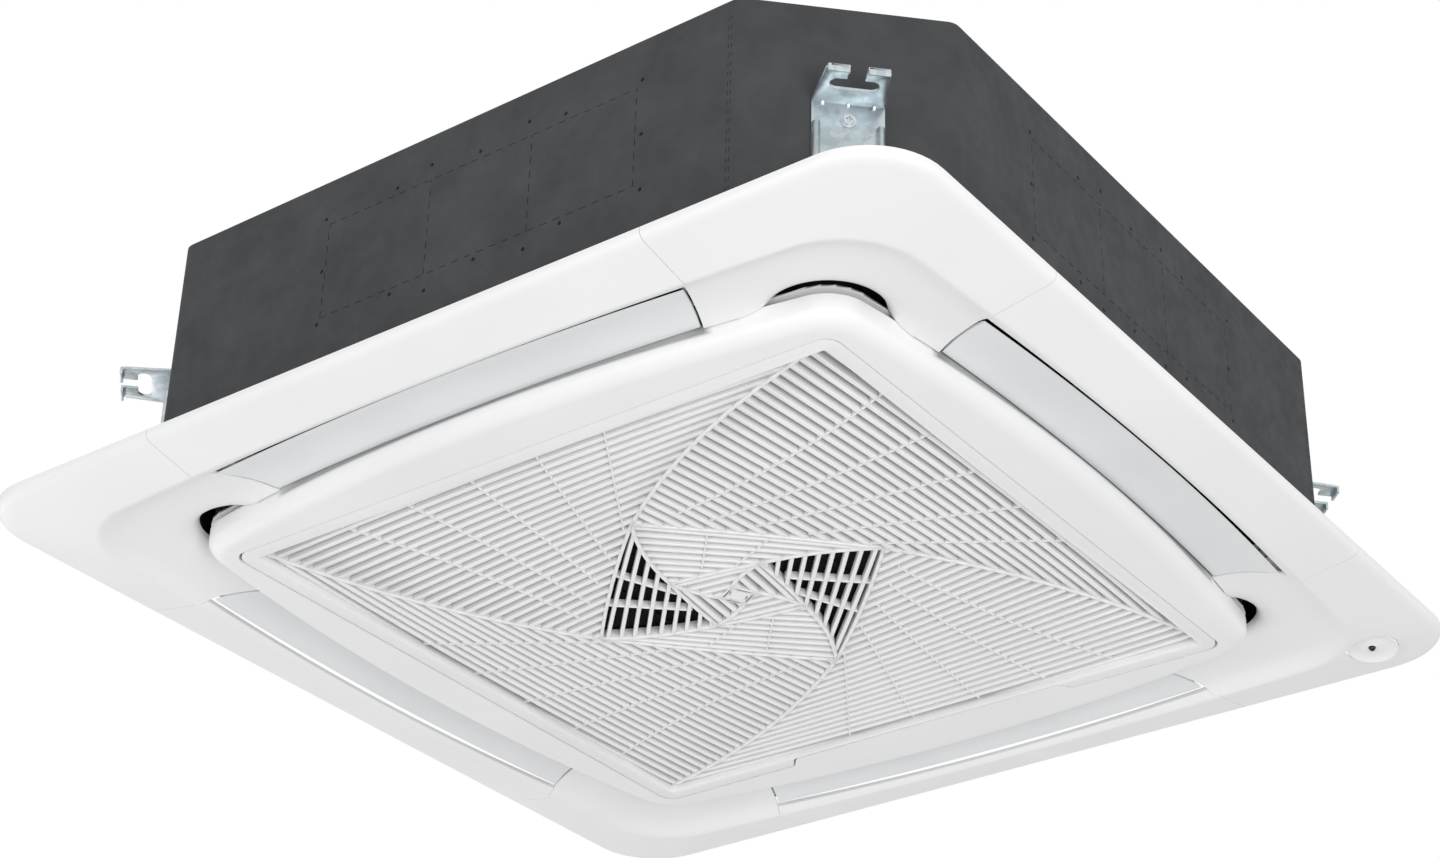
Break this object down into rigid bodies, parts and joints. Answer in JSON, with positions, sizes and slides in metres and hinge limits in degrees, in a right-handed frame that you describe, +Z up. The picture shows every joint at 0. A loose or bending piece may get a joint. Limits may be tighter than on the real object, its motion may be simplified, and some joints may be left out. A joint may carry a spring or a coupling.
{
  "type": "ceiling cassette air conditioner",
  "caption": "Square ceiling air conditioner: white panel with swirl intake grille and side vanes, under an octagonal insulated casing with fan, coil and hanging brackets.",
  "frame": {"origin": "middle of the panel, at the lower face of the ceiling", "axes": "+Z up into the ceiling, +X right, +Y to the back, where the grille unlatches; -Y is the plain badge side"},
  "size_m": [0.95, 0.95, 0.258],
  "materials": {
    "zinc_sheet": "galvanised sheet, faint spangle, satin",
    "dark_foam_wrap": "closed-cell foam wrap, matt, slightly mottled",
    "black_foam": "moulded black foam, matt",
    "sponge": "soft black sponge, matt",
    "panel_white": "white moulded plastic, fine satin",
    "vane_white": "white moulded plastic, a touch cooler than the panel",
    "grille_white": "white moulded plastic, satin",
    "filter_net": "fine woven near-black net in a plastic frame",
    "dark_plastic": "near-black plastic",
    "rubber_mount": "black rubber",
    "steel": "turned steel, satin",
    "coil_fins": "stacked aluminium fins, dull",
    "copper_pipe": "drawn copper tube, satin",
    "brass_nut": "machined brass, satin",
    "circuit_board": "green laminate",
    "grey_plastic": "grey moulded plastic, matt"
  },
  "bodies": {
    "cassette": {"casing_shell": "zinc_sheet", "outer_insulation": "dark_foam_wrap", "foam_liner": "black_foam", "panel_gasket": "sponge", "panel_frame": "panel_white", "corner_cover_back_right": "panel_white", "corner_cover_back_left": "panel_white", "corner_cover_front_left": "panel_white", "corner_cover_front_right": "panel_white", "receiver_housing": "panel_white", "receiver_window": "dark_plastic", "vane_motor_right": "dark_plastic", "vane_motor_back": "dark_plastic", "vane_motor_left": "dark_plastic", "vane_motor_front": "dark_plastic", "drain_pan": "black_foam", "bell_mouth": "grey_plastic", "heat_exchanger": "coil_fins", "fan_motor": "zinc_sheet", "motor_mount_1": "rubber_mount", "motor_mount_2": "rubber_mount", "motor_mount_3": "rubber_mount", "motor_mount_4": "rubber_mount", "control_box": "zinc_sheet", "control_box_cover": "zinc_sheet", "control_board": "circuit_board", "hanger_bracket_back_right": "zinc_sheet", "hanger_bracket_back_left": "zinc_sheet", "hanger_bracket_front_left": "zinc_sheet", "hanger_bracket_front_right": "zinc_sheet", "gas_pipe": "copper_pipe", "liquid_pipe": "copper_pipe", "gas_flare_nut": "brass_nut", "liquid_flare_nut": "brass_nut", "pipe_plate": "zinc_sheet", "drain_pump": "grey_plastic", "drain_outlet": "dark_plastic", "float_stem": "grey_plastic"},
    "fan": {"turbo_fan": "grey_plastic", "motor_shaft": "steel", "fan_nut": "steel"},
    "vane_right": {"air_vane_right": "vane_white"},
    "vane_back": {"air_vane_back": "vane_white"},
    "vane_left": {"air_vane_left": "vane_white"},
    "vane_front": {"air_vane_front": "vane_white"},
    "grille_door": {"swirl_grille": "grille_white", "air_filter": "filter_net", "hinge_pin_left": "steel", "hinge_pin_right": "steel"},
    "catch_left": {"grille_catch_left": "grey_plastic"},
    "catch_right": {"grille_catch_right": "grey_plastic"},
    "float": {"float_ring": "sponge"}
  },
  "joints": [
    {"name": "fan_spin", "type": "hinge", "parent": "cassette", "child": "fan", "pos_m": [0, 0, 0.15], "axis": [0, 0, 1], "continuous": true},
    {"name": "vane_right_swing", "type": "hinge", "parent": "cassette", "child": "vane_right", "pos_m": [0.372, 0, 0], "axis": [0, 1, 0], "range_deg": [0, 38]},
    {"name": "vane_back_swing", "type": "hinge", "parent": "cassette", "child": "vane_back", "pos_m": [0, 0.372, 0], "axis": [-1, 0, 0], "range_deg": [0, 38]},
    {"name": "vane_left_swing", "type": "hinge", "parent": "cassette", "child": "vane_left", "pos_m": [-0.372, 0, 0], "axis": [0, -1, 0], "range_deg": [0, 38]},
    {"name": "vane_front_swing", "type": "hinge", "parent": "cassette", "child": "vane_front", "pos_m": [0, -0.372, 0], "axis": [1, 0, 0], "range_deg": [0, 38]},
    {"name": "grille_hinge", "type": "hinge", "parent": "cassette", "child": "grille_door", "pos_m": [0, -0.3, -0.0236], "axis": [-1, 0, 0], "range_deg": [0, 90]},
    {"name": "catch_left_slide", "type": "slide", "parent": "cassette", "child": "catch_left", "axis": [0, 1, 0], "range_m": [0, 0.0035], "stiffness_N_per_m": 800},
    {"name": "catch_right_slide", "type": "slide", "parent": "cassette", "child": "catch_right", "axis": [0, 1, 0], "range_m": [0, 0.0035], "stiffness_N_per_m": 800},
    {"name": "float_rise", "type": "slide", "parent": "cassette", "child": "float", "axis": [0, 0, 1], "range_m": [0, 0.012]}
  ]
}
